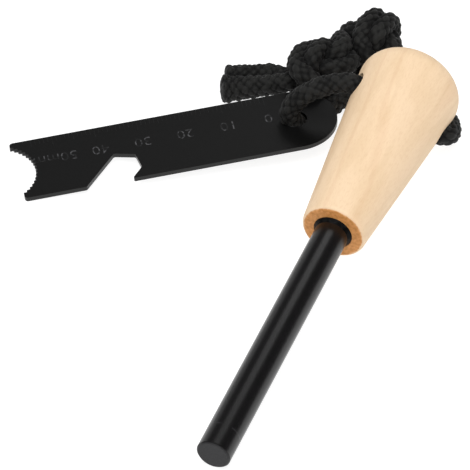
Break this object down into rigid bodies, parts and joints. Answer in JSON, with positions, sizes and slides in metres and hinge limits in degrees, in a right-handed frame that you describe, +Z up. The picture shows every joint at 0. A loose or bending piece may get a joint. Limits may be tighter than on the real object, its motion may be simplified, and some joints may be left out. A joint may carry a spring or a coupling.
{
  "type": "ferro rod fire starter",
  "caption": "Fire starter: a ferrocerium rod glued in a tapered wooden handle, with a flat steel striker plate swinging on a knotted braided lanyard.",
  "frame": {"origin": "the middle of the box round the handle, rod and striker plate, at table height; the cord is left out", "axes": "+Z up from the table; +Y from the rod's tip towards the handle's butt, the longest extent; +X to the right of the handle, away from the striker plate; Z is the shortest extent"},
  "size_m": [0.0983, 0.15, 0.0243],
  "materials": {
    "turned_wood": "bare, finely sanded pale hardwood",
    "coated_ferrocerium": "satin black protective coat",
    "black_adhesive": "cured glossy black adhesive",
    "blackened_steel": "satin black coated stamped steel",
    "braided_cord": "matte black braided synthetic cord"
  },
  "bodies": {
    "root": {"handle": "turned_wood", "ferro_rod": "coated_ferrocerium", "rod_adhesive": "black_adhesive", "cord_striker_loop": "braided_cord", "cord_handle_loop": "braided_cord", "cord_knot_inner": "braided_cord", "cord_knot_link": "braided_cord", "cord_knot_outer": "braided_cord", "cord_tail_front": "braided_cord", "cord_tail_back": "braided_cord"},
    "striker": {"striker_plate": "blackened_steel"}
  },
  "joints": [
    {"name": "striker_swing", "type": "hinge", "parent": "root", "child": "striker", "pos_m": [0.01204, 0.04502, 0.00525], "axis": [-0.0596, -0.0392, 0.9975], "range_deg": [-18, 64]}
  ]
}
